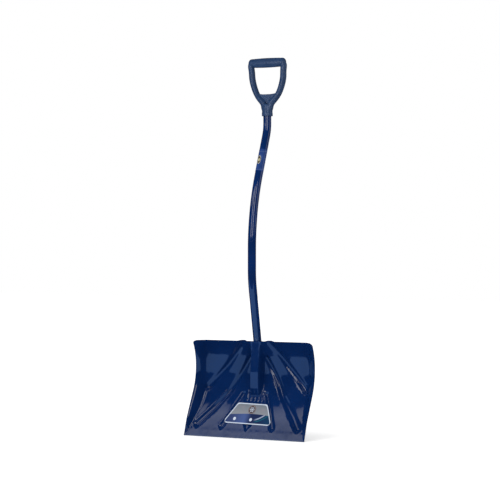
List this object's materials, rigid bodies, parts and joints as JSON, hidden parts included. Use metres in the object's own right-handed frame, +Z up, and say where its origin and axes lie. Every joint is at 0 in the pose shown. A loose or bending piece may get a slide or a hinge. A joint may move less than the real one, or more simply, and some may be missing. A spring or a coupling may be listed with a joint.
{
  "type": "snow shovel",
  "caption": "Snow shovel: ribbed plastic blade with turned-up sides, bent steel tube handle and D-grip, for pushing and lifting snow by hand.",
  "frame": {"origin": "middle of the scraping edge, on the ground that the edge stands on", "axes": "+Z up along the shovel; -Y towards the open side of the scoop; +X along the scraping edge, to the right of someone who looks into the scoop"},
  "size_m": [0.457, 0.2259, 1.329],
  "materials": {
    "blade_plastic": "glossy navy polyethylene",
    "tube_paint": "glossy navy powder coat on steel tube",
    "grip_plastic": "matte navy polypropylene",
    "bar_plastic": "matte navy polypropylene, finely textured",
    "screw_steel": "zinc-plated",
    "blade_label_film": "printed self-adhesive film",
    "shaft_label_film": "printed self-adhesive film"
  },
  "bodies": {
    "root": {"blade": "blade_plastic", "shaft": "tube_paint", "grip_yoke": "grip_plastic", "hand_bar": "bar_plastic", "socket_screws": "screw_steel", "grip_screw": "screw_steel", "blade_label": "blade_label_film", "shaft_label": "shaft_label_film"}
  },
  "joints": []
}
